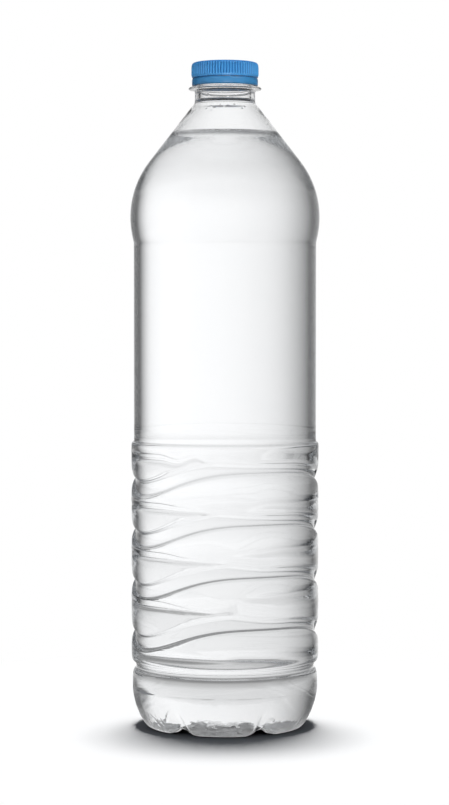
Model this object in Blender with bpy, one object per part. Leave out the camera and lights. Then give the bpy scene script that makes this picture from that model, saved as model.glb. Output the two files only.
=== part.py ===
"""A full 1.5 litre water bottle: blown shell, water, screw cap and tamper band.

Metres, +Z up. The bottle stands on z = 0 with its axis on the world Z axis, and
its front faces -Y. Angles are measured around +Z from the front, towards +X.
Run it with: blender --background --python part.py
"""
import math

import bpy
import bmesh
import numpy as np

MM = 0.001

# Driving dimensions of the blown body, in millimetres.
PANEL_R = 42.4            # plain label panel
BULGE_R = 44.0            # widest ring, where the shoulder meets the panel
CUSHION_R = 43.7          # top of the grip cushions
FOOT_RING_R = 43.0        # plain ring above the feet
NECK_R = 14.0             # tube under the support ring
BODY_WALL = 0.4
GAP = 0.3                 # clearance between neighbouring pieces
FILL_Z = 275.8            # still water surface

# Shoulder: a straight cone that runs into a round bulge.
CONE_ANGLE = math.radians(37.85)
SHOULDER_ARC_R = 42.0
SHOULDER_ARC_Z = 236.7
PANEL_TOP_Z = 222.8
PANEL_BOTTOM_Z = 133.6
CONE_TOP_Z = 287.8
NECK_FOOT_Z = 290.0

# Grip: four wavy channels with cushions between them, two waves to a turn.
CHANNELS = 4
CHANNEL_PITCH = 23.65
CHANNEL_TOP_Z = 118.0
CHANNEL_DEPTH = 1.65
WAVE_HEIGHT = 6.0
WAVE_SHARPNESS = 0.227
WAVE_CREST = math.radians(27.0)
SPLIT_DEPTH = 0.9         # shallow groove that splits each cushion on its low side
SPLIT_START = math.radians(-95.0)
SPLIT_TIP_Z = 125.2
SPLIT_PITCH = 23.1
SPLIT_TIPS = [math.radians(a) for a in (-11.0, -10.5, -2.0, 9.5)]
SPLIT_SLOPE = 2.6         # fall over one radian
GRIP_STEP_Z = 131.6
GRIP_FOOT_Z = 32.4
RING_GROOVE_Z = 28.4
RING_GROOVE_DEPTH = 1.4
FOOT_RING_TOP_Z = 25.4

# Base: six feet with radial valleys between them.
FEET = 6
VALLEY_ANGLE = math.radians(27.0)
VALLEY_RISE = 4.6         # height of a valley over the standing plane
VALLEY_INSET = 0.25       # how far a valley cuts in, for each unit that it rises
PUSH_UP = 6.5             # height of the middle of the base
PAD_INNER_R = 32.5
PAD_OUTER_R = 35.5

# Neck finish.
BORE_R = 11.7
THREAD_ROOT_R = 13.2
THREAD_CREST_R = 14.15
THREAD_PITCH = 2.7
LIP_Z = 306.6
RING_R = 16.8
RING_Z = (295.5, 296.9)
BEAD_R = 14.2
BEAD_Z = 299.4
NECK_THREAD_Z = 302.1
NECK_THREAD_TURNS = 1.25

# Closure.
CAP_TOP_Z = 308.4
CAP_BOTTOM_Z = 301.1
CAP_R = 15.6
RIBS = 72
RIB_DEPTH = 0.4
CAP_INNER_R = 14.45
CAP_CEILING_Z = LIP_Z + GAP
PLUG_R = BORE_R - GAP
PLUG_WALL = 1.0
PLUG_Z = 304.3
CAP_THREAD_R = 13.45
CAP_THREAD_START = 0.45   # turns from the neck thread's start
CAP_THREAD_TURNS = 1.0
BAND_TOP_Z = 300.3
BAND_BOTTOM_Z = 297.4
BAND_R = 15.3
BAND_INNER_R = 14.5
HOOK_R = 13.7
BRIDGES = 12
BRIDGE_ANGLE = math.radians(9.2)

SEGMENTS = 48
SEGMENT_PHASE = WAVE_CREST


def clear_scene():
    """Remove every object, so the model starts from nothing."""
    for obj in list(bpy.data.objects):
        bpy.data.objects.remove(obj, do_unlink=True)


def angles(count, phase=0.0):
    """Evenly spaced angles for one turn."""
    return phase + np.arange(count) * 2.0 * math.pi / count


BODY_ANGLES = angles(SEGMENTS, SEGMENT_PHASE)


def smoothstep(value, low, high):
    """Ease from 0 at low to 1 at high."""
    t = np.clip((value - low) / (high - low), 0.0, 1.0)
    return t * t * (3.0 - 2.0 * t)


def row(radius, height, around=BODY_ANGLES):
    """One ring of points as a pair of arrays, radius and height."""
    ones = np.ones_like(around)
    return ones * radius, ones * height


# ---------------------------------------------------------------- surfaces

def mesh_from_rows(name, rows, around, pole_low=None, pole_high=None):
    """Skin rings that run up the outside of a piece (and down its inside).

    Each row is (radius, height) over the same angles. A pole closes that end on
    the axis; with no poles the last row joins the first, as on a ring.
    """
    count = len(around)
    mesh = bpy.data.meshes.new(name)
    bm = bmesh.new()
    rings = []
    for radius, height in rows:
        xs = radius * np.sin(around) * MM
        ys = -radius * np.cos(around) * MM
        rings.append([bm.verts.new(point) for point in zip(xs, ys, height * MM)])
    pairs = list(zip(rings, rings[1:]))
    if pole_low is None:
        pairs.append((rings[-1], rings[0]))
    for first, second in pairs:
        rising = sum(v.co.z for v in second) >= sum(v.co.z for v in first)
        for i in range(count):
            j = (i + 1) % count
            skin_quad(bm, first[i], first[j], second[j], second[i], rising)
    if pole_low is not None:
        close_on_axis(bm, rings[0], pole_low, False)
        close_on_axis(bm, rings[-1], pole_high, True)
    bm.to_mesh(mesh)
    bm.free()
    return mesh


def skin_quad(bm, a, b, c, d, rising):
    """Two triangles whose shared edge slopes the same way on every nested skin."""
    if rising:
        bm.faces.new((a, b, c))
        bm.faces.new((a, c, d))
    else:
        bm.faces.new((a, b, d))
        bm.faces.new((b, c, d))


def close_on_axis(bm, ring, height, facing_up):
    """Fan a ring of vertices to one vertex on the axis."""
    pole = bm.verts.new((0.0, 0.0, height * MM))
    for first, second in zip(ring, ring[1:] + ring[:1]):
        corners = (first, second, pole) if facing_up else (second, first, pole)
        bm.faces.new(corners)


def offset_rows(rows, distance):
    """Move rings inwards along the normal of each meridian."""
    radius = np.array([r for r, z in rows])
    height = np.array([z for r, z in rows])
    along_r = np.gradient(radius, axis=0)
    along_z = np.gradient(height, axis=0)
    length = np.hypot(along_r, along_z)
    new_radius = radius - distance * along_z / length
    new_height = height + distance * along_r / length
    return list(zip(new_radius, new_height))


def thread_mesh(name, root_r, crest_r, start_z, turns, start_turn=0.0):
    """A trapezoid thread along a right-handed helix, thinned out at both ends."""
    steps = int(round(turns * SEGMENTS))
    root_half, crest_half = 0.75, 0.3
    mesh = bpy.data.meshes.new(name)
    bm = bmesh.new()
    sections = []
    for step in range(steps + 1):
        turn = start_turn + turns * step / steps
        angle = SEGMENT_PHASE + turn * 2.0 * math.pi
        z = start_z + turn * THREAD_PITCH
        ends = min(step, steps - step) / 5.0
        crest = root_r + (crest_r - root_r) * min(1.0, 0.4 + 0.6 * ends)
        corners = ((root_r, z - root_half), (crest, z - crest_half),
                   (crest, z + crest_half), (root_r, z + root_half))
        sections.append([bm.verts.new((r * math.sin(angle) * MM,
                                       -r * math.cos(angle) * MM, h * MM))
                         for r, h in corners])
    for near, far in zip(sections, sections[1:]):
        for i in range(4):
            j = (i + 1) % 4
            bm.faces.new((near[i], far[i], far[j], near[j]))
    bm.faces.new(sections[0])
    bm.faces.new(list(reversed(sections[-1])))
    bmesh.ops.recalc_face_normals(bm, faces=bm.faces)
    bm.to_mesh(mesh)
    bm.free()
    return mesh


# ---------------------------------------------------------------- body rings

def wave(around):
    """Height of the grip pattern's wave: two waves to a turn, sharper when low."""
    phase = 2.0 * (around - WAVE_CREST)
    return WAVE_HEIGHT * (np.cos(phase) - WAVE_SHARPNESS * np.cos(2.0 * phase))


def channel_half_width(around):
    """A channel is narrow on its crests and wide where it runs low."""
    return 2.8 - 0.6 * np.cos(2.0 * (around - WAVE_CREST))


def split_line(around, tip, tip_z, low, high):
    """Height and depth of the groove that splits a cushion, ending at its tip.

    It repeats on the other side of the body, as the channels do.
    """
    half_turn = math.pi
    angle = (around - SPLIT_START) % half_turn + SPLIT_START
    on = smoothstep(angle, SPLIT_START, SPLIT_START + 0.5)
    on = on * (1.0 - smoothstep(angle, tip - 0.25, tip + 0.2))
    line = np.clip(tip_z + SPLIT_SLOPE * (tip - angle), low + 1.5, high - 1.8)
    middle = 0.5 * (low + high)
    return middle + (line - middle) * on, SPLIT_DEPTH * on


def base_rows():
    """From inside the standing ring, over the feet and up to the foot ring."""
    across = (BODY_ANGLES - VALLEY_ANGLE) * FEET
    valley = smoothstep(np.cos(across), -0.1, 1.0) ** 3
    profile = [
        (10.0, PUSH_UP - 0.4, 0.0), (20.0, PUSH_UP - 1.9, 0.15), (28.5, 1.9, 0.5),
        (PAD_INNER_R, 0.0, 1.0), (PAD_OUTER_R, 0.0, 1.0), (37.6, 1.6, 0.85),
        (39.6, 4.9, 0.5), (41.3, 9.2, 0.15), (42.4, 13.4, 0.0),
        (FOOT_RING_R, 18.2, 0.0), (FOOT_RING_R, FOOT_RING_TOP_Z, 0.0),
    ]
    rows = []
    for radius, height, share in profile:
        lift = VALLEY_RISE * valley * share
        inset = VALLEY_INSET if radius > PAD_OUTER_R else 0.0
        rows.append((radius - inset * lift, height + lift))
    return rows


def grip_rows():
    """Ring groove, then channels and cushions up to the step under the panel."""
    groove_r = FOOT_RING_R - RING_GROOVE_DEPTH
    rows = [row(groove_r + 0.4, RING_GROOVE_Z - 1.4),
            row(groove_r, RING_GROOVE_Z),
            row(groove_r + 0.6, RING_GROOVE_Z + 1.7)]
    lift = wave(BODY_ANGLES)
    half = channel_half_width(BODY_ANGLES)
    floor_r = CUSHION_R - CHANNEL_DEPTH
    edge_r = CUSHION_R - 0.35
    below = np.full(SEGMENTS, GRIP_FOOT_Z)
    for index in reversed(range(CHANNELS)):
        centre = CHANNEL_TOP_Z - index * CHANNEL_PITCH + lift
        if index == CHANNELS - 1:
            top = np.maximum(centre - half, below + 1.2)
            fill = smoothstep(top - below, 1.0, 8.0)
            rows.append((groove_r + 0.6 + (edge_r - groove_r - 0.6) * fill, below))
            rows.append((groove_r + 0.6 + (CUSHION_R - groove_r - 0.6) * fill,
                         0.5 * (top + below)))
            rows.append((floor_r + (edge_r - floor_r) * fill, top))
        else:
            rows += cushion_rows(below, centre - half, index + 1, edge_r)
        rows.append((np.full(SEGMENTS, floor_r), centre))
        below = centre + half
    rows += cushion_rows(below, np.full(SEGMENTS, GRIP_STEP_Z), 0, edge_r)[:-1]
    rows.append(row(CUSHION_R - 0.3, GRIP_STEP_Z))
    return rows


def cushion_rows(low, high, index, edge_r):
    """Rings over one cushion, from the channel below it to the one above."""
    tip_z = SPLIT_TIP_Z - index * SPLIT_PITCH
    line, depth = split_line(BODY_ANGLES, SPLIT_TIPS[index], tip_z, low, high)
    full = np.full(SEGMENTS, CUSHION_R)
    edge = np.full(SEGMENTS, edge_r)
    return [(edge, low), (full, 0.5 * (low + line)), (full - depth, line),
            (full, 0.5 * (line + high)), (edge, high)]


def shoulder_radius(height):
    """Round bulge over the panel, by the height above the base."""
    rise = (height - SHOULDER_ARC_Z) / SHOULDER_ARC_R
    return BULGE_R - SHOULDER_ARC_R * (1.0 - math.sqrt(1.0 - rise * rise))


def shoulder_rows():
    """Panel, bulge, cone and the turn into the neck."""
    cone_foot_z = SHOULDER_ARC_Z + SHOULDER_ARC_R * math.sin(CONE_ANGLE)
    rows = [row(PANEL_R, PANEL_BOTTOM_Z), row(PANEL_R, PANEL_TOP_Z)]
    for height in (229.0, 234.0, SHOULDER_ARC_Z, 246.0, 252.5, 259.0, cone_foot_z):
        rows.append(row(shoulder_radius(height), height))
    cone_foot_r = shoulder_radius(cone_foot_z)
    for height in (FILL_Z, CONE_TOP_Z):
        rows.append(row(cone_foot_r - (height - cone_foot_z) * math.tan(CONE_ANGLE), height))
    return rows


def neck_rows():
    """Neck tube, support ring, tamper bead and lip, outside then inside."""
    ring_low, ring_high = RING_Z
    outside = [(NECK_R, NECK_FOOT_Z), (NECK_R, ring_low - 0.3), (RING_R, ring_low),
               (RING_R, ring_high - 0.3), (THREAD_ROOT_R, ring_high),
               (THREAD_ROOT_R, BEAD_Z - 0.6), (BEAD_R, BEAD_Z - 0.3),
               (BEAD_R, BEAD_Z + 0.1), (THREAD_ROOT_R, BEAD_Z + 0.9),
               (THREAD_ROOT_R, LIP_Z - 0.4), (THREAD_ROOT_R - 0.4, LIP_Z)]
    inside = [(BORE_R + 0.3, LIP_Z), (BORE_R, LIP_Z - 0.3), (BORE_R, NECK_FOOT_Z + 3.0)]
    return [row(r, z) for r, z in outside + inside]


def body_rows(inset=0.0):
    """The blown body from the base up to the foot of the neck, moved in by inset.

    The grip keeps its heights, so that its close rings never cross.
    """
    base, grip, shoulder = base_rows(), grip_rows(), shoulder_rows()
    moved = offset_rows(base + grip + shoulder, inset)
    upright = [(radius - inset, height) for radius, height in grip]
    return moved[:len(base)] + upright + moved[-len(shoulder):]


# ---------------------------------------------------------------- objects

def material(name, color, roughness, transmission=0.0, ior=1.46):
    """A Principled material for one part."""
    made = bpy.data.materials.new(name)
    made.use_nodes = True
    shader = made.node_tree.nodes["Principled BSDF"]
    shader.inputs["Base Color"].default_value = (*color, 1.0)
    shader.inputs["Roughness"].default_value = roughness
    shader.inputs["Metallic"].default_value = 0.0
    shader.inputs["Transmission Weight"].default_value = transmission
    shader.inputs["IOR"].default_value = ior
    made.diffuse_color = (*color, 1.0 - 0.7 * transmission)
    return made


def add_object(name, mesh, surface, parent=None):
    """Put a mesh in the scene as one named part."""
    obj = bpy.data.objects.new(name, mesh)
    bpy.context.scene.collection.objects.link(obj)
    if surface is not None:
        mesh.materials.append(surface)
    mesh.shade_smooth()
    mesh.set_sharp_from_angle(angle=math.radians(35.0))
    obj.parent = parent
    return obj


def add_tool(name, mesh, target, operation):
    """Add or cut a shape with an exact Boolean, keeping the tool out of the model."""
    tool = add_object(name, mesh, None)
    tool.hide_render = True
    tool.display_type = "WIRE"
    modifier = target.modifiers.new(name, "BOOLEAN")
    modifier.operation = operation
    modifier.solver = "EXACT"
    modifier.object = tool


def make_bottle():
    """Blown shell with its screw neck, open at the mouth."""
    inside = body_rows(BODY_WALL)
    rows = body_rows() + neck_rows() + list(reversed(inside))
    mesh = mesh_from_rows("bottle", rows, BODY_ANGLES, PUSH_UP, PUSH_UP + BODY_WALL)
    clear = material("clear_plastic", (0.93, 0.95, 0.96), 0.05, 1.0, 1.575)
    bottle = add_object("bottle", mesh, clear)
    thread = thread_mesh("neck_thread", THREAD_ROOT_R - 0.35, THREAD_CREST_R,
                         NECK_THREAD_Z, NECK_THREAD_TURNS)
    add_tool("neck_thread", thread, bottle, "UNION")


def make_water():
    """Still water that fills the body to the shoulder."""
    fill_row = len(base_rows() + grip_rows()) + len(shoulder_rows()) - 1
    rows = body_rows(BODY_WALL + GAP)[:fill_row]
    radius, height = rows[-1]
    rows[-1] = row(radius - (FILL_Z - height) * math.tan(CONE_ANGLE), FILL_Z)
    mesh = mesh_from_rows("water", rows, BODY_ANGLES, PUSH_UP + BODY_WALL + GAP, FILL_Z)
    add_object("water", mesh, material("water", (0.9, 0.95, 0.97), 0.0, 1.0, 1.333))


def closure_axis():
    """Empty on the neck's axis that carries the closure."""
    axis = bpy.data.objects.new("closure_axis", None)
    bpy.context.scene.collection.objects.link(axis)
    return axis


def make_cap(axis, surface):
    """Ribbed cap shell with an inner thread and a plug seal."""
    around = angles(2 * RIBS)
    ribs = np.where(np.arange(2 * RIBS) % 2 == 0, 0.0, -RIB_DEPTH)
    low, high = CAP_BOTTOM_Z, CAP_TOP_Z
    rows = [row(CAP_R - 0.6, low, around), row(CAP_R - 0.3, low + 0.5, around),
            (CAP_R + ribs, row(0, low + 0.9, around)[1]),
            (CAP_R + ribs, row(0, high - 1.7, around)[1]),
            (CAP_R - 0.35 + 0.4 * ribs, row(0, high - 0.8, around)[1]),
            row(CAP_R - 1.2, high - 0.2, around), row(CAP_R - 3.2, high, around)]
    cap = add_object("cap", mesh_from_rows("cap", rows, around, low, high), surface, axis)
    add_tool("cap_hollow", hollow_mesh(), cap, "DIFFERENCE")
    start = NECK_THREAD_Z - 0.5 * THREAD_PITCH
    thread = thread_mesh("cap_thread", CAP_INNER_R + 0.35, CAP_THREAD_R, start,
                         CAP_THREAD_TURNS, CAP_THREAD_START)
    add_tool("cap_thread", thread, cap, "UNION")


def hollow_mesh():
    """The space inside the cap, around its plug seal."""
    around = angles(SEGMENTS, SEGMENT_PHASE)
    below = CAP_BOTTOM_Z - 1.0
    rows = [(CAP_INNER_R, below), (CAP_INNER_R, CAP_CEILING_Z), (PLUG_R, CAP_CEILING_Z),
            (PLUG_R, PLUG_Z + 0.4), (PLUG_R - 0.4, PLUG_Z), (PLUG_R - PLUG_WALL, PLUG_Z),
            (PLUG_R - PLUG_WALL, CAP_CEILING_Z)]
    rows = [row(r, z, around) for r, z in rows]
    return mesh_from_rows("cap_hollow", rows, around, below, CAP_CEILING_Z)


def make_tamper_band(axis, surface):
    """Ring under the cap, hooked under the neck's bead, with its thin bridges."""
    pitch = 2.0 * math.pi / BRIDGES
    bridge = math.radians(1.3)
    edge = math.radians(1.6)
    spots = [-edge, -bridge, bridge, edge] + [pitch * share for share in (0.25, 0.5, 0.75)]
    around = np.array([BRIDGE_ANGLE + n * pitch + spot for n in range(BRIDGES) for spot in spots])
    raised = np.array([1.0 if abs(spot) <= bridge else 0.0 for spot in spots] * BRIDGES)
    top = BAND_TOP_Z + raised * (CAP_BOTTOM_Z - BAND_TOP_Z - GAP)
    low = BAND_BOTTOM_Z
    rows = [row(HOOK_R + 0.2, low + 0.1, around), row(BAND_R - 0.5, low, around),
            row(BAND_R, low + 0.9, around), (row(BAND_R - 0.05, 0, around)[0], top),
            (row(BAND_INNER_R, 0, around)[0], top), row(BAND_INNER_R, low + 1.6, around),
            row(HOOK_R, low + 1.1, around)]
    mesh = mesh_from_rows("tamper_band", rows, around)
    add_object("tamper_band", mesh, surface, axis)


def main():
    """Build every part of the bottle."""
    clear_scene()
    make_bottle()
    make_water()
    axis = closure_axis()
    make_cap(axis, material("cap_blue", (0.055, 0.26, 0.56), 0.35))
    make_tamper_band(axis, material("band_blue", (0.05, 0.25, 0.55), 0.35))


main()
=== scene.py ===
"""Looks of a full, clear plastic water bottle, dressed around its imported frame.

Everything is in metres in the frame's own axes: +Z up, the front faces -Y.
Lengths of the pieces are named in millimetres and multiplied by MM once.
Angles are measured around +Z from the front, towards +X.
"""
import math

import bpy
import numpy as np
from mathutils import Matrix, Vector


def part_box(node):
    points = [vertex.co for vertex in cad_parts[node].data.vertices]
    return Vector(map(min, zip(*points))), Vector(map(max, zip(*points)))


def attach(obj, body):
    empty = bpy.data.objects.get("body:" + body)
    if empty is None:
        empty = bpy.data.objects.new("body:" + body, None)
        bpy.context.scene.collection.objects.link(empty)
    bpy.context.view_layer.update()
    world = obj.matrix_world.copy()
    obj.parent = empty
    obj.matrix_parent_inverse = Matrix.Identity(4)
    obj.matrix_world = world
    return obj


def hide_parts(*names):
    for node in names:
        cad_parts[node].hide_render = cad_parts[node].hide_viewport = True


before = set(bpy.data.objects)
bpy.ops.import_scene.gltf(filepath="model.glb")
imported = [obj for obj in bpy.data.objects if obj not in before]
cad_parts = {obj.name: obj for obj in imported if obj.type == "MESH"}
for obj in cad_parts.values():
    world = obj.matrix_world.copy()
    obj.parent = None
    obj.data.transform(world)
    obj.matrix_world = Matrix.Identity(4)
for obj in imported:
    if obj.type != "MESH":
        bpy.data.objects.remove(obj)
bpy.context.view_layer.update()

MM = 0.001
TURN = 2.0 * math.pi

# Heights taken from the frame, in millimetres.
LIP_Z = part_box("bottle")[1][2] / MM
FILL_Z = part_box("water")[1][2] / MM
CAP_LOW_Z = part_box("cap")[0][2] / MM
CAP_TOP_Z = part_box("cap")[1][2] / MM
BAND_LOW_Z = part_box("tamper_band")[0][2] / MM

# Blown body.
ROUND = 132               # points in a ring of the body
PANEL_R = 42.4
BULGE_R = 44.0
CUSHION_R = 43.65
FOOT_RING_R = 43.1
NECK_R = 14.0
BODY_WALL = 0.4
CONE_ANGLE = math.radians(37.85)
SHOULDER_ARC_R = 42.0
SHOULDER_ARC_Z = 236.7
CONE_TOP_Z = LIP_Z - 19.2
STEP_Z = 132.5
HEEL_TOP_Z = 18.2

# Grip: wavy channels under long cushions, and tongues that part them on the left.
CHANNELS = 4
CHANNEL_PITCH = 23.65
CHANNEL_EDGE_Z = 115.6    # mean height of the top channel's lower edge
CHANNEL_WIDTH = 4.2
CHANNEL_DEPTH = 1.9
WAVE_HEIGHT = 6.0
WAVE_SHARPNESS = 0.227
WAVE_CREST = math.radians(27.0)
TONGUE_TOP_Z = 124.0      # upper edge of the top tongue
TONGUE_PITCH = 22.35
TONGUE_LIFT = 6.6         # from a channel's lower edge to the tongue over it
TONGUE_TIPS = tuple(math.radians(angle) for angle in (-10.0, -10.0, -1.0, 8.0, 10.0))
SPLIT_WIDTH = 4.2
SPLIT_DEPTH = 1.5
SPLIT_START = math.radians(-90.0)
RING_GROOVE_Z = (26.9, 30.4)
RING_GROOVE_DEPTH = 2.0

# Base: six feet with valleys between them.
FEET = 6
VALLEY_ANGLE = math.radians(27.0)
VALLEY_TOP_Z = 16.0
VALLEY_RISE = 3.4
PUSH_UP = 6.5
PAD_IN_R = 32.5
PAD_OUT_R = 35.5

# Neck finish and closure.
BORE_R = 11.7
ROOT_R = 13.2
THREAD_Z = LIP_Z - 4.5
THREAD_PITCH = 2.7
THREAD_DEPTH = 0.95
RIBS = 72
CAP_R = 15.6
CAP_INNER_R = 14.45
RIB_DEPTH = 0.6
BAND_R = 15.3
BAND_INNER_R = 14.5
BAND_TOP_Z = BAND_LOW_Z + 3.5
BRIDGES = 12
BRIDGE_ANGLE = math.radians(9.2)

# Water's edge against the wall.
MENISCUS_RISE = 2.4
MENISCUS_REACH = 2.7

# Studio. The camera's and the lamps' places are in metres, the table's in millimetres.
PARTING_ANGLE = math.radians(34.0)
TABLE_R = 1500.0
TABLE_Z = (-4.0, -0.3)
CAMERA_PLACE = (-0.00023, -1.13, 0.191)
CAMERA_TIP = math.radians(2.045)
LAMP_AIM_Z = 0.15
LIGHT_BOUNCES = 96        # each reflection inside the wet wall takes several
WHITE = (1.0, 1.0, 1.0, 1.0)


# ------------------------------------------------------------------ maths

def ease(value, low, high):
    """Smooth step: 0 at low, 1 at high, t*t*(3 - 2t) between them."""
    t = np.clip((value - low) / (high - low), 0.0, 1.0)
    return t * t * (3.0 - 2.0 * t)


def soft_max(a, b, blend):
    """The larger of two values, rounded over where they are within blend."""
    h = np.clip(0.5 + 0.5 * (a - b) / blend, 0.0, 1.0)
    return b + (a - b) * h + blend * h * (1.0 - h)


def wrap(angle):
    """An angle brought between minus and plus half a turn."""
    return (angle + math.pi) % TURN - math.pi


def corner_cut(outline, passes=2):
    """Round an outline by Chaikin's rule: each pass cuts every corner at its quarters."""
    points = np.array(outline, float)
    for _ in range(passes):
        near = 0.75 * points[:-1] + 0.25 * points[1:]
        far = 0.25 * points[:-1] + 0.75 * points[1:]
        inner = np.stack((near, far), axis=1).reshape(-1, points.shape[1])
        points = np.concatenate((points[:1], inner[1:-1], points[-1:]))
    return points


def ring_angles(count):
    """Evenly spaced angles for one turn, as a row."""
    return (WAVE_CREST + np.arange(count) * TURN / count)[None, :]


def spread(outline, around):
    """Radius and height grids of an outline's rings."""
    flat = np.zeros_like(around)
    return outline[:, :1] + flat, outline[:, 1:2] + flat


def levels(*heights):
    """Rings' heights as a column."""
    return np.concatenate(heights)[:, None]


# ------------------------------------------------------------------ meshes

def skin(name, radius, height, around, low_pole=None, high_pole=None):
    """Closed mesh over rings of points r*sin(a), -r*cos(a), z.

    Rings run up an outside and down an inside, so faces point outwards. A pole
    height closes that end with a fan; with no poles the last ring meets the first.
    """
    grid = np.stack((radius * np.sin(around), -radius * np.cos(around), height), axis=-1)
    rings, count, _ = grid.shape
    index = np.arange(rings * count).reshape(rings, count)
    points = [grid.reshape(-1, 3)]
    if low_pole is None:
        lower, upper, faces = index, np.roll(index, -1, axis=0), []
    else:
        lower, upper = index[:-1], index[1:]
        points.append(np.array([(0.0, 0.0, low_pole), (0.0, 0.0, high_pole)]))
        first, last, south = index[0], index[-1], rings * count
        fans = (np.stack((np.roll(first, -1), first, np.full(count, south)), -1),
                np.stack((last, np.roll(last, -1), np.full(count, south + 1)), -1))
        faces = np.concatenate(fans).tolist()
    quads = np.stack((lower, np.roll(lower, -1, 1), np.roll(upper, -1, 1), upper), -1)
    mesh = bpy.data.meshes.new(name)
    faces = quads.reshape(-1, 4).tolist() + faces
    mesh.from_pydata((np.concatenate(points) * MM).tolist(), [], faces)
    mesh.validate()
    mesh.shade_smooth()
    return mesh


def piece(mesh, surface, body, node):
    """A piece that rides a body, takes a slot's finish and stands for a CAD node."""
    obj = bpy.data.objects.new(mesh.name, mesh)
    bpy.context.scene.collection.objects.link(obj)
    mesh.materials.append(surface)
    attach(obj, body)
    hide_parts(node)
    return obj


def inset(radius, height, distance):
    """Rings moved inwards by distance, along the normal of each meridian."""
    along_r = np.gradient(radius, axis=0)
    along_z = np.gradient(height, axis=0)
    length = np.hypot(along_r, along_z) + 1e-9
    return radius - distance * along_z / length, height + distance * along_r / length


# ------------------------------------------------------------------ blown body

def wave(around):
    """Height of the grip's wave: cos(p) - sharpness*cos(2p), with p twice the angle."""
    phase = 2.0 * (around - WAVE_CREST)
    return WAVE_HEIGHT * (np.cos(phase) - WAVE_SHARPNESS * np.cos(2.0 * phase))


def wall(inward, outer, inner):
    """A groove's side: 0 outside, 1 inside, steepest at inward = 0.

    It is share*exp(t/outer) outside and 1 - (1 - share)*exp(-t/inner) inside, with
    share = outer/(outer + inner), so that the two meet with one slope.
    """
    share = outer / (outer + inner)
    return np.where(inward < 0.0, share * np.exp(np.minimum(inward, 0.0) / outer),
                    1.0 - (1.0 - share) * np.exp(-np.maximum(inward, 0.0) / inner))


def edge(inward, crisp):
    """A mould's edge: a tight step and a wide fillet, mixed by how crisp it is."""
    return crisp * wall(inward, 0.6, 0.45) + (1.0 - crisp) * wall(inward, 1.7, 0.9)


def half_turn(around):
    """The angle within the half turn that the grip's pattern repeats, from SPLIT_START."""
    return (around - SPLIT_START) % math.pi + SPLIT_START


def front_half(around):
    """1 on the half that faces front and at both sides, 0 on the back."""
    return 1.0 - ease(np.abs(wrap(around)), math.radians(95.0), math.radians(120.0))


def grip_lines(around, index):
    """Heights of one level's edges: channel foot, tongue foot, tongue top, cushion foot.

    The cushion's foot runs level over the tongue, then falls to the channel. The top
    tongue swells at its tip. The lowest one stands on the ring groove.
    """
    angle = half_turn(around)
    foot = CHANNEL_EDGE_Z - index * CHANNEL_PITCH + wave(around)
    foot = np.maximum(foot, RING_GROOVE_Z[1] + 1.0)
    top = TONGUE_TOP_Z - index * TONGUE_PITCH + np.zeros_like(angle)
    if index == 0:
        swell = 2.2 * np.exp(-((angle + 0.33) / 0.1) ** 2)
        waist = 1.2 * np.exp(-((angle + 0.56) / 0.12) ** 2)
        top = top + swell - waist
    right = ease(angle, math.radians(-45.0), math.radians(35.0))
    spread_out = CHANNEL_WIDTH + 2.4 * ease(angle, math.radians(60.0), math.radians(90.0))
    cushion = (top + SPLIT_WIDTH) * (1.0 - right) + (foot + spread_out) * right
    if index == CHANNELS:
        cushion = np.minimum(cushion, grip_lines(around, index - 1)[0] - 0.6)
    return foot, foot + TONGUE_LIFT, top, cushion


def grip_sunk(around, height, index):
    """How deep one level of the grip is pressed in: a wide groove with a tongue left in it.

    Its edges are softer on the back, and the lowest level has a tongue only.
    """
    angle = half_turn(around)
    near = front_half(around)
    tip = TONGUE_TIPS[index]
    foot, tongue_foot, tongue_top, cushion = grip_lines(around, index)
    soft = ease(angle, tip - 0.45, tip) * (1.0 - ease(angle, tip + 0.35, tip + 0.7))
    low = edge(height - foot, 0.8 * near)
    high = cushion - height
    high = (1.0 - soft) * edge(high, 0.8 * near) + soft * wall(high, 3.0, 1.3)
    joined = ease(angle, tip - 0.04, tip + 0.12)
    under = edge(tongue_foot - height, 0.6 * near) * (1.0 - joined) + joined
    over = edge(height - tongue_top, 0.9 * near) * (1.0 - joined) + joined
    on = ease(angle, SPLIT_START, SPLIT_START + math.radians(24.0))
    if index == CHANNELS:
        return near * on * over * high * (1.0 - ease(angle, tip - 0.7, tip))
    channel = CHANNEL_DEPTH * low * np.minimum(under, high)
    split = SPLIT_DEPTH * on * over * high * low
    return soft_max(channel, split, 0.1)


def grip_radius(around, height):
    """Radius of the body from the foot ring to the panel, by angle and height."""
    low, high = RING_GROOVE_Z
    radius = FOOT_RING_R + (CUSHION_R - FOOT_RING_R) * ease(height, low, high)
    near = front_half(around)
    over = height - STEP_Z
    step = near * wall(over, 0.4, 0.3) + (1.0 - near) * wall(over, 1.5, 3.0)
    radius = radius - (CUSHION_R - PANEL_R) * step
    sunk = RING_GROOVE_DEPTH * edge(height - low, 0.7) * edge(high - height, 0.6 * near)
    for index in range(CHANNELS + 1):
        sunk = np.maximum(sunk, grip_sunk(around, height, index))
    return radius - sunk * (1.0 - ease(height, STEP_Z - 2.5, STEP_Z))


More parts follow.
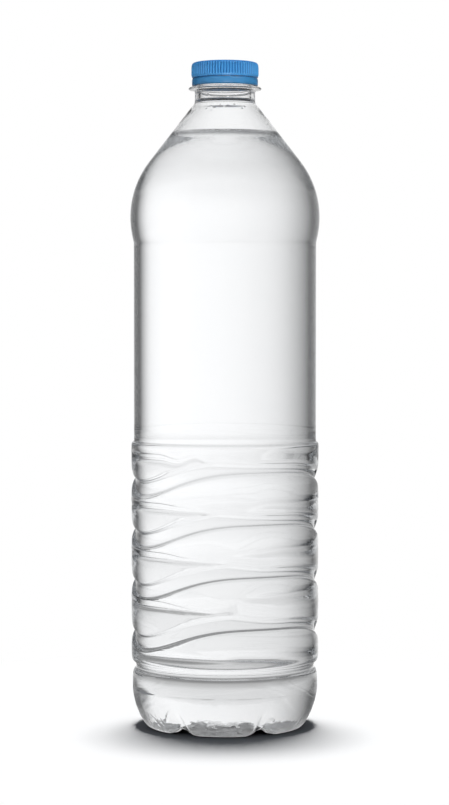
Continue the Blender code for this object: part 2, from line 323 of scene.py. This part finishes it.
def grip_heights(around):
    """Heights of the grip's rings, close together along every edge of its pattern."""
    flat = np.zeros_like(around)
    marks = [HEEL_TOP_Z + flat, RING_GROOVE_Z[0] + flat, RING_GROOVE_Z[1] + flat]
    for index in reversed(range(CHANNELS + 1)):
        foot, _, _, cushion = grip_lines(around, index)
        gap = cushion - foot
        marks += [foot, foot + np.minimum(TONGUE_LIFT, 0.42 * gap),
                  cushion - np.minimum(SPLIT_WIDTH, 0.38 * gap), cushion]
    marks += [STEP_Z + flat, STEP_Z + 5.0 + flat]
    near = ((0.18, 0.07), (0.42, 0.15), (0.85, 0.27), (1.8, 0.41))
    rows = []
    for low, high in zip(marks, marks[1:]):
        gap = high - low
        steps = [np.minimum(off, share * gap) for off, share in near]
        rows += [low] + [low + step for step in steps] + [0.5 * (low + high)]
        rows += [high - step for step in reversed(steps)]
    return np.concatenate(rows)


def base_rings(around):
    """Push-up, pads and heel, with the valleys between the feet pressed in.

    The dome is PUSH_UP*(1 - (r/R)^3), the pad is flat, and the heel is a
    superellipse |x|^n + |y|^n = 1. A valley moves points up and in, and is narrower
    and lower on the back.
    """
    dome_r = np.linspace(2.0, PAD_IN_R - 0.6, 16)
    pad_r = np.linspace(PAD_IN_R, PAD_OUT_R, 4)
    turn = np.linspace(0.0, 0.5 * math.pi, 24)[1:]
    power = 2.0 / 1.575
    heel_r = PAD_OUT_R + (FOOT_RING_R - PAD_OUT_R) * np.sin(turn) ** power
    heel_z = HEEL_TOP_Z * (1.0 - np.cos(turn) ** power)
    radius = levels(dome_r, pad_r, heel_r)
    height = levels(PUSH_UP * (1.0 - (dome_r / PAD_IN_R) ** 3), 0.0 * pad_r, heel_z)
    across = wrap((around - VALLEY_ANGLE) * FEET) / FEET
    fade = 1.0 - ease(height, 0.0, VALLEY_TOP_Z)
    near = front_half(around)
    width = (math.radians(2.6) + math.radians(3.6) * fade) * (0.4 + 0.6 * near)
    outside = radius > PAD_OUT_R
    share = np.where(outside, fade ** 0.8, ease(radius, 6.0, PAD_IN_R))
    rise = VALLEY_RISE * np.exp(-(across / width) ** 2) * share * (0.5 + 0.5 * near)
    return radius - np.where(outside, 0.75, 0.0) * rise, height + rise


def shoulder_radius(height):
    """Radius above the panel: a round bulge, then a straight cone that touches it."""
    rise = np.clip((height - SHOULDER_ARC_Z) / SHOULDER_ARC_R, -0.9, 0.9)
    arc = BULGE_R - SHOULDER_ARC_R * (1.0 - np.sqrt(1.0 - rise * rise))
    cone_foot_z = SHOULDER_ARC_Z + SHOULDER_ARC_R * math.sin(CONE_ANGLE)
    cone_foot_r = BULGE_R - SHOULDER_ARC_R * (1.0 - math.cos(CONE_ANGLE))
    cone = cone_foot_r - (height - cone_foot_z) * math.tan(CONE_ANGLE)
    radius = np.where(height > cone_foot_z, cone, arc)
    return np.where(height < SHOULDER_ARC_Z, soft_max(radius, PANEL_R, 0.3), radius)


def body_rings(around):
    """The blown body's outside from the base to the top of the cone."""
    flat = np.zeros_like(around)
    base_r, base_z = base_rings(around)
    grip_z = grip_heights(around)[1:]
    top_z = levels(np.linspace(145.0, 219.0, 5), np.linspace(222.2, 229.2, 9),
                   np.linspace(232.2, 265.2, 13), np.linspace(269.2, CONE_TOP_Z, 8)) + flat
    radius = np.concatenate((base_r, grip_radius(around, grip_z), shoulder_radius(top_z)))
    return radius, np.concatenate((base_z, grip_z, top_z))


def helix(around, height, start_z, first, turns):
    """A trapezoid thread's stand, 0 to 1: it follows a helix and thins out at its ends."""
    phase = ((around - WAVE_CREST) % TURN) / TURN
    stand = np.zeros_like(height + phase)
    for lap in range(2):
        turn = phase + lap
        last = first + turns
        ends = ease(turn, first, first + 0.09) * (1.0 - ease(turn, last - 0.09, last))
        off = np.abs(height - start_z - THREAD_PITCH * turn)
        stand = np.maximum(stand, ends * (1.0 - ease(off, 0.3, 0.75)))
    return stand


def neck_rings(around):
    """Neck outside: tube, support ring, tamper bead, thread and lip, then the bore."""
    flat = np.zeros_like(around)
    top = LIP_Z
    tube = corner_cut([(14.5, top - 17.7), (NECK_R, top - 16.6), (13.95, top - 11.8),
                       (14.5, top - 11.2), (16.6, top - 11.0), (16.85, top - 10.7),
                       (16.85, top - 10.2), (16.5, top - 9.85), (13.9, top - 9.6),
                       (ROOT_R, top - 9.2), (ROOT_R, top - 8.3), (14.2, top - 7.5),
                       (14.2, top - 7.0), (ROOT_R, top - 6.2), (ROOT_R, top - 5.5)])
    screw_z = levels(np.linspace(top - 5.4, top - 0.5, 20)) + flat
    screw_r = ROOT_R + THREAD_DEPTH * helix(around, screw_z, THREAD_Z, 0.0, 1.25)
    lip = corner_cut([(ROOT_R, top - 0.45), (12.95, top), (11.95, top), (BORE_R, top - 0.4),
                      (BORE_R, top - 3.0), (BORE_R, top - 15.0), (11.9, top - 15.9),
                      (12.9, top - 16.4), (13.45, top - 16.8), (13.75, top - 17.9)], 1)
    tube_r, tube_z = spread(tube, around)
    lip_r, lip_z = spread(lip, around)
    return np.concatenate((tube_r, screw_r, lip_r)), np.concatenate((tube_z, screw_z, lip_z))


def body_wall(height):
    """Thickness of the blown wall, which grows towards the neck."""
    return BODY_WALL + 0.3 * ease(height, LIP_Z - 24.0, LIP_Z - 19.0)


def make_bottle(surface):
    """Blown shell, outside and inside, with its neck finish."""
    around = ring_angles(ROUND)
    out_r, out_z = body_rings(around)
    neck_r, neck_z = neck_rings(around)
    in_r, in_z = inset(out_r, out_z, body_wall(out_z))
    radius = np.concatenate((out_r, neck_r, in_r[::-1]))
    height = np.concatenate((out_z, neck_z, in_z[::-1]))
    mesh = skin("bottle_shell", radius, height, around, PUSH_UP, PUSH_UP + body_wall(PUSH_UP))
    return piece(mesh, surface, "body", "bottle")


def make_water(surface):
    """Still water. Its skin lies halfway into the wall, so that no air shows between.

    Its top climbs the wall as a meniscus, rise*(1 - d/reach) at the distance d inwards.
    """
    around = ring_angles(ROUND)
    out_r, out_z = body_rings(around)
    side_r, side_z = inset(out_r, out_z, 0.5 * body_wall(out_z))
    level = FILL_Z - MENISCUS_RISE
    keep = side_z.max(axis=1) < level
    edge_r = float(shoulder_radius(np.array(FILL_Z))) - 0.5 * BODY_WALL / math.cos(CONE_ANGLE)
    inward = levels(np.linspace(0.0, 2.0, 6), np.linspace(2.2, 3.6, 9), [5.0, 9.0, 14.0, 20.0])
    climb = soft_max(MENISCUS_RISE * (1.0 - inward / MENISCUS_REACH), 0.0, 0.5)
    flat = np.zeros_like(around)
    radius = np.concatenate((side_r[keep], edge_r - inward + flat))
    height = np.concatenate((side_z[keep], level + climb + flat))
    mesh = skin("water_fill", radius, height, around, PUSH_UP + 0.5 * body_wall(PUSH_UP), level)
    return piece(mesh, surface, "body", "water")


# ------------------------------------------------------------------ closure

def make_cap(surface):
    """Plug seal, inner thread and ribbed shell as one surface, from the ceiling out.

    A rib's section is a raised cosine. The ribs fade out over the plain rim and
    the rounded top.
    """
    around = ring_angles(RIBS * 10)
    flat = np.zeros_like(around)
    ceiling, plug_z, plug_r = LIP_Z + 0.3, LIP_Z - 2.3, BORE_R - 0.3
    low, top = CAP_LOW_Z, CAP_TOP_Z
    inside = corner_cut([(2.0, ceiling), (plug_r - 1.1, ceiling), (plug_r - 1.0, plug_z),
                         (plug_r - 0.3, plug_z), (plug_r, plug_z + 0.4), (plug_r, ceiling),
                         (CAP_INNER_R - 0.3, ceiling), (CAP_INNER_R, ceiling - 0.3)], 1)
    screw_z = levels(np.linspace(ceiling - 0.5, low + 0.15, 20)) + flat
    start_z = THREAD_Z - 0.5 * THREAD_PITCH
    screw_r = CAP_INNER_R - THREAD_DEPTH * helix(around, screw_z, start_z, 0.45, 1.0)
    outside = corner_cut([(CAP_INNER_R + 0.05, low), (15.0, low), (15.35, low + 0.25),
                          (15.4, low + 0.8), (CAP_R, low + 1.05), (CAP_R, top - 4.2),
                          (CAP_R - 0.05, top - 1.7), (CAP_R - 0.45, top - 0.6),
                          (CAP_R - 1.5, top - 0.1), (CAP_R - 3.2, top), (8.0, top),
                          (2.0, top - 0.05)])
    in_r, in_z = spread(inside, around)
    out_r, out_z = spread(outside, around)
    ribbed = ease(out_z, low + 0.7, low + 1.3) * (1.0 - ease(out_z, top - 1.8, top - 0.3))
    valley = 1.0 - (0.5 + 0.5 * np.cos(RIBS * around)) ** 0.8
    out_r = out_r - RIB_DEPTH * ribbed * valley
    radius = np.concatenate((in_r, screw_r, out_r))
    height = np.concatenate((in_z, screw_z, out_z))
    mesh = skin("cap_shell", radius, height, around, ceiling, top - 0.05)
    return piece(mesh, surface, "closure", "cap")


def make_tamper_ring(surface):
    """Band under the cap, hooked under the neck's bead.

    A row is a radius, a height and the share of a bridge's rise. The bridges are thin:
    1 - ease(|a|, 1 degree, 1.7 degrees).
    """
    around = ring_angles(BRIDGES * 60)
    low, top = BAND_LOW_Z, BAND_TOP_Z
    rows = np.array([(13.9, low + 0.1, 0), (BAND_R - 0.5, low, 0), (BAND_R - 0.08, low + 0.25, 0),
                     (BAND_R, low + 0.9, 0), (BAND_R, top - 0.75, 0),
                     (BAND_R - 0.1, top - 0.45, 0.3), (BAND_R - 0.35, top, 1),
                     (BAND_INNER_R + 0.1, top, 1), (BAND_INNER_R, top - 0.2, 0.5),
                     (BAND_INNER_R, low + 1.6, 0), (13.7, low + 1.1, 0), (13.7, low + 0.4, 0)])
    pitch = TURN / BRIDGES
    off = np.abs((around - BRIDGE_ANGLE + 0.5 * pitch) % pitch - 0.5 * pitch)
    bridge = 1.0 - ease(off, math.radians(1.0), math.radians(1.7))
    radius, height = spread(rows, around)
    height = height + rows[:, 2:] * (CAP_LOW_Z - 0.03 - top) * bridge
    mesh = skin("tamper_ring", radius, height, around)
    return piece(mesh, surface, "band", "tamper_band")


# ------------------------------------------------------------------ shaders

class Wire:
    """A socket whose arithmetic adds Math nodes."""

    def __init__(self, tree, socket):
        self.tree = tree
        self.socket = socket

    def math(self, operation, *values):
        """A Math node on the values given."""
        return self.tree.node("ShaderNodeMath", {"operation": operation}, dict(enumerate(values)))

    def __add__(self, other):
        return self.math("ADD", self, other)

    def __sub__(self, other):
        return self.math("SUBTRACT", self, other)

    def __rsub__(self, other):
        return self.math("SUBTRACT", other, self)

    def __mul__(self, other):
        return self.math("MULTIPLY", self, other)

    def __truediv__(self, other):
        return self.math("DIVIDE", self, other)

    def __abs__(self):
        return self.math("ABSOLUTE", self)

    __radd__ = __add__
    __rmul__ = __mul__


class Tree:
    """Adds nodes to one node tree."""

    def __init__(self, owner):
        owner.use_nodes = True
        self.tree = owner.node_tree
        self.tree.nodes.clear()

    def node(self, kind, settings=None, values=None, output=0):
        """A node of a kind: its settings first, then its sockets' values or links."""
        node = self.tree.nodes.new(kind)
        for name, value in (settings or {}).items():
            if name == "stops":
                self.set_stops(node.color_ramp, value)
            else:
                setattr(node, name, value)
        for name, value in (values or {}).items():
            socket = node.inputs[name]
            if isinstance(value, Wire):
                self.tree.links.new(value.socket, socket)
            else:
                socket.default_value = value
        return Wire(self, node.outputs[output]) if node.outputs else None

    @staticmethod
    def set_stops(ramp, stops):
        """Stops of a grey ramp as (place, value) pairs, smoothly joined."""
        ramp.interpolation = "B_SPLINE" if len(stops) > 2 else "EASE"
        while len(ramp.elements) < len(stops):
            ramp.elements.new(1.0)
        for element, (place, value) in zip(ramp.elements, stops):
            element.position = place
            element.color = (value, value, value, 1.0)

    def mix(self, factor, first, second):
        """Blend of two colours."""
        settings = {"data_type": "RGBA", "clamp_factor": True}
        return self.node("ShaderNodeMix", settings, {0: factor, 6: first, 7: second}, 2)

    def noise(self, place, scale, detail=2.0):
        """Soft noise from 0 to 1 on a place, with scale features to a metre."""
        values = {"Vector": place, "Scale": scale, "Detail": detail}
        return self.node("ShaderNodeTexNoise", None, values)

    def ramp(self, value, *stops):
        """A value carried through a smooth ramp."""
        return self.node("ShaderNodeValToRGB", {"stops": stops}, {"Fac": value})

    def axes(self, vector):
        """The three parts of a vector."""
        first = self.node("ShaderNodeSeparateXYZ", None, {0: vector})
        outputs = first.socket.node.outputs
        return [Wire(self, outputs[n]) for n in range(3)]

    def place(self):
        """Object coordinates, in metres."""
        return self.node("ShaderNodeTexCoord", None, None, 3)

    def ray(self, name):
        """1 for a kind of ray, 0 for the others."""
        return Wire(self, self.node("ShaderNodeLightPath").socket.node.outputs[name])

    def reach(self, x, y):
        """Distance from the upright axis."""
        square = x * x + y * y
        return square.math("POWER", square, 0.5)

    def bump(self, height, distance):
        """Normal from a height that runs from 0 to 1 over a distance."""
        values = {"Height": height, "Distance": distance, "Strength": 1.0}
        return self.node("ShaderNodeBump", None, values)

    def finish(self, values):
        """Principled shader wired to the output."""
        shader = self.node("ShaderNodeBsdfPrincipled", None, values)
        self.node("ShaderNodeOutputMaterial", None, {"Surface": shader})


def clear_plastic():
    """Blown polyester: waves, a parting line, painted shade at the water's edge, drops, uneven
    feet and specks.
    """
    material = bpy.data.materials.new("blown_clear_plastic")
    tree = Tree(material)
    place = tree.place()
    x, y, z = tree.axes(place)
    off = abs(x * math.cos(PARTING_ANGLE) + y * math.sin(PARTING_ANGLE))
    ridge = tree.ramp(off / (0.5 * MM), (0.0, 1.0), (1.0, 0.0))
    waves = tree.noise(place, 70.0)
    low = tree.ramp(z / (11.0 * MM), (0.0, 1.0), (0.4, 0.8), (0.75, 0.0), (1.0, 0.0))
    feet = tree.noise(place, 300.0, 1.0) * low
    rare = tree.noise(place, 160.0, 0.0)
    beads = tree.node("ShaderNodeTexVoronoi", None, {"Vector": place, "Scale": 420.0})
    drops = tree.ramp(beads * 3.0, (0.0, 1.0), (1.0, 0.0))
    drops = drops * tree.ramp(rare, (0.56, 0.0), (0.64, 1.0))
    drops = drops * tree.ramp((z - FILL_Z * MM) / (10.0 * MM) + 0.5, (0.45, 0.0), (0.6, 1.0))
    height = waves * 0.6 + ridge * 1.0 + feet * 60.0 + drops * 2.5
    cells = tree.node("ShaderNodeTexVoronoi", None, {"Vector": place, "Scale": 190.0})
    speck = tree.ramp(cells * 9.0, (0.0, 1.0), (0.55, 0.0))
    speck = speck * tree.ramp(rare, (0.62, 0.0), (0.68, 1.0))
    tint = tree.mix(waves, (0.985, 0.99, 0.995, 1.0), (0.995, 0.997, 1.0, 1.0))
    # Painted shade: the plastic's colour turns grey in a band along the water's edge, in place of
    # the dark line the meniscus throws.
    waterline_shade = abs(z - (FILL_Z - 1.3) * MM) / (2.0 * MM)
    waterline_shade = tree.ramp(waterline_shade, (0.0, 1.0), (0.4, 0.7), (0.8, 0.0), (1.0, 0.0))
    tint = tree.mix(waterline_shade * (0.5 + waves * 0.6), tint, (0.3, 0.31, 0.32, 1.0))
    tree.finish({"Base Color": tree.mix(speck, tint, (0.45, 0.47, 0.5, 1.0)),
                 "Roughness": 0.0, "IOR": 1.575, "Transmission Weight": 1.0,
                 "Normal": tree.bump(height, 0.012 * MM)})
    return material


def still_water():
    """Clear water with a trace of colour."""
    material = bpy.data.materials.new("still_water")
    tree = Tree(material)
    depth = tree.noise(tree.place(), 12.0)
    tree.finish({"Base Color": tree.mix(depth, (0.99, 0.995, 1.0, 1.0), WHITE),
                 "Roughness": 0.0, "IOR": 1.333, "Transmission Weight": 1.0})
    return material


def moulded_blue(name, light, dark, rough):
    """Moulded polyethylene: cloudy colour, fine grain and scuffs, with painted shade that darkens
    it between the ribs and on its inner faces.
    """
    material = bpy.data.materials.new(name)
    tree = Tree(material)
    place = tree.place()
    cloud = tree.noise(place, 260.0)
    grain = tree.noise(place, 5200.0, 3.0)
    scuff = tree.ramp(tree.noise(place, 900.0, 4.0), (0.55, 0.0), (0.75, 1.0))
    x, y, z = tree.axes(place)
    # Painted shade: the colour runs from the dark one in the ribs' valleys and further in to the
    # light one on the crests, as if shade lay in the grooves.
    rib = (tree.reach(x, y) / MM - (CAP_R - RIB_DEPTH)) / RIB_DEPTH
    rib = tree.ramp(rib, (0.0, 0.0), (0.35, 0.25), (1.0, 1.0))
    colour = tree.mix(rib * 0.8 + (cloud * 0.7 + grain * 0.3) * 0.2, dark, light)
    tree.finish({"Base Color": colour, "Roughness": rough + scuff * 0.12 + grain * 0.08,
                 "IOR": 1.5, "Normal": tree.bump(grain * 0.5 + scuff * 0.5, 0.02 * MM)})
    return material


# ------------------------------------------------------------------ studio

def by_turn(tree, x, y, *stops):
    """A ramp over the direction from the middle, in degrees from the back towards +X."""
    turn = x.math("ARCTAN2", x, y) / TURN + 0.5
    return tree.ramp(turn, *[(0.5 + degrees / 360.0, level) for degrees, level in stops])


def studio_side(tree, x, y):
    """How bright the backdrop is by direction: wide and white behind, dark at the sides."""
    return by_turn(tree, x, y, (-180, 0.64), (-115, 0.67), (-86, 0.75), (-70, 0.44), (-58, 0.0),
                   (-47, 0.0), (-38, 0.28), (-27, 0.58), (-16, 0.82), (-8, 0.88), (0, 0.93),
                   (9, 0.98), (14, 1.0), (29, 1.0), (35, 0.9), (42, 0.4), (47, 0.0), (86, 0.0),
                   (110, 0.45), (180, 0.64)) * 1.13


def make_floor():
    """White round table top that takes the bottle's shadow and fades to plain white.

    Glass sees it glow as part of the pale backdrop, with a painted shadow that dims it round the
    bottle.
    """
    material = bpy.data.materials.new("white_table")
    tree = Tree(material)
    x, y, z = tree.axes(tree.place())
    reach = tree.reach(x, y) / (TABLE_R * MM)
    # Painted shadow for glass: the glow seen through the bottle is darkened in a ring round its
    # base, where its shadow falls.
    level = tree.ramp(reach, (0.0, 1.0), (0.02, 0.9), (0.038, 0.22), (0.065, 0.3), (0.1, 0.52),
                      (0.125, 0.79), (0.2, 0.84), (0.33, 0.89), (0.6, 0.91), (0.85, 0.97),
                      (1.0, 1.0))
    near = tree.ramp(reach, (0.05, 1.0), (0.16, 0.0))
    side = tree.mix(near, studio_side(tree, x, y), (0.95, 0.95, 0.95, 1.0))
    backdrop_with_painted_shadow = tree.node("ShaderNodeEmission", None, {"Color": side * level, "Strength": 1.0})
    shade = tree.mix(tree.ray("Is Camera Ray"), (0.8, 0.8, 0.8, 1.0), (0.95, 0.95, 0.95, 1.0))
    matt = tree.node("ShaderNodeBsdfDiffuse", None, {"Color": shade})
    white = tree.node("ShaderNodeEmission", None, {"Color": WHITE, "Strength": 1.0})
    far = tree.ray("Is Camera Ray") * tree.ramp(reach, (0.08, 0.0), (0.16, 1.0))
    table = tree.node("ShaderNodeMixShader", None, {0: far, 1: matt, 2: white})
    seen = tree.ray("Is Glossy Ray") + tree.ray("Is Transmission Ray")
    surface = tree.node("ShaderNodeMixShader", None, {0: seen, 1: table, 2: backdrop_with_painted_shadow})
    tree.node("ShaderNodeOutputMaterial", None, {"Surface": surface})
    around = ring_angles(96)
    low, top = TABLE_Z
    outline = np.array([(20.0, low), (TABLE_R, low), (TABLE_R, top), (20.0, top)])
    radius, height = spread(outline, around)
    mesh = skin("table", radius, height, around, low, top)
    table = bpy.data.objects.new("table", mesh)
    bpy.context.scene.collection.objects.link(table)
    mesh.materials.append(material)


def make_world():
    """Studio around the bottle, by direction: a wide white backdrop and dark sides.

    Gloss and glass see the backdrop, which is dimmer for gloss where a highlight would
    wash out an edge. Matt surfaces get a faint even light.
    """
    world = bpy.data.worlds.new("studio")
    bpy.context.scene.world = world
    tree = Tree(world)
    x, y, z = tree.axes(tree.node("ShaderNodeTexCoord", None, None, 0))
    rise = z.math("ARCSINE", z) / math.pi + 0.5

    def by_rise(*stops):
        return tree.ramp(rise, *[(0.5 + degrees / 180.0, level) for degrees, level in stops])

    side = studio_side(tree, x, y)
    share = by_rise((-90, 0.7), (-32, 0.96), (-14, 1.0), (-5, 1.0), (4, 1.0), (12, 1.0),
                    (19, 0.8), (27, 0.35), (40, 0.06), (90, 0.0))
    lift = by_rise((-90, 0.3), (-20, 0.05), (-6, 0.0), (24, 0.0), (40, 0.04), (60, 0.1), (90, 0.6))
    gleam = by_turn(tree, x, y, (-180, 1.0), (-100, 1.0), (-78, 0.3), (-50, 0.12), (-20, 0.15),
                    (-8, 0.8), (8, 0.8), (20, 0.15), (50, 0.12), (78, 0.3), (100, 1.0), (180, 1.0))
    through = tree.ray("Is Transmission Ray")
    seen = tree.ray("Is Glossy Ray") + through
    backdrop = (side * share + lift) * (1.0 - (1.0 - through) * (1.0 - gleam))
    colour = tree.mix(seen, (0.1, 0.108, 0.12, 1.0), backdrop)
    colour = tree.mix(tree.ray("Is Camera Ray"), colour, WHITE)
    surface = tree.node("ShaderNodeBackground", None, {"Color": colour, "Strength": 1.0})
    tree.node("ShaderNodeOutputWorld", None, {"Surface": surface})


def lamp(name, kind, azimuth, elevation, distance, energy, **settings):
    """A lamp that looks at the bottle; azimuth 0 is behind it, and 90 is on its right."""
    data = bpy.data.lights.new(name, kind)
    data.energy = energy
    for key, value in settings.items():
        setattr(data, key, value)
    obj = bpy.data.objects.new(name, data)
    obj.visible_glossy = False
    obj.visible_transmission = False
    bpy.context.scene.collection.objects.link(obj)
    side, up = math.radians(azimuth), math.radians(elevation)
    toward = Vector((math.sin(side) * math.cos(up), math.cos(side) * math.cos(up), math.sin(up)))
    obj.location = Vector((0.0, 0.0, LAMP_AIM_Z)) + toward * distance
    obj.rotation_euler = toward.to_track_quat("Z", "Y").to_euler()
    return obj


def make_camera():
    """Long lens at the bottle's middle height, tipped down a little."""
    data = bpy.data.cameras.new("camera")
    data.lens = 108.5
    data.sensor_width = 36.0
    data.clip_end = 20.0
    obj = bpy.data.objects.new("camera", data)
    obj.location = CAMERA_PLACE
    obj.rotation_euler = (0.5 * math.pi - CAMERA_TIP, 0.0, 0.0)
    bpy.context.scene.collection.objects.link(obj)
    bpy.context.scene.camera = obj


def light_closure(*objects):
    """Three soft lamps that light these objects alone."""
    lit = bpy.data.collections.new("closure_light")
    for obj in objects:
        lit.objects.link(obj)
    for name, azimuth, elevation, energy in (("left", -150.0, 40.0, 2.5),
                                             ("right", 135.0, 45.0, 7.0),
                                             ("front", 172.0, -9.0, 7.5)):
        light = lamp(name, "AREA", azimuth, elevation, 1.5, energy, shape="SQUARE", size=0.25)
        light.visible_glossy = True
        light.light_linking.receiver_collection = lit
        light.light_linking.blocker_collection = lit


def main():
    """Build the studio and dress the frame."""
    scene = bpy.context.scene
    scene.view_settings.view_transform = "Standard"
    scene.cycles.max_bounces = LIGHT_BOUNCES
    scene.cycles.transmission_bounces = LIGHT_BOUNCES
    scene.cycles.glossy_bounces = LIGHT_BOUNCES
    scene.cycles.diffuse_bounces = 3
    scene.cycles.caustics_refractive = False
    scene.cycles.caustics_reflective = False
    make_camera()
    make_world()
    make_floor()
    lamp("overhead", "SUN", 0.0, 82.5, 1.0, 3.1, angle=math.radians(13.0))
    make_bottle(clear_plastic())
    make_water(still_water())
    # The second colour of each is painted shade for the ribs' valleys and inner faces; the first
    # is the plastic on its crests.
    cap_blue = moulded_blue("cap_blue_plastic", (0.1, 0.45, 0.88, 1.0),
                            (0.008, 0.13, 0.4, 1.0), 0.3)
    band_blue = moulded_blue("band_blue_plastic", (0.055, 0.27, 0.56, 1.0),
                             (0.045, 0.24, 0.52, 1.0), 0.3)
    light_closure(make_cap(cap_blue), make_tamper_ring(band_blue))


main()
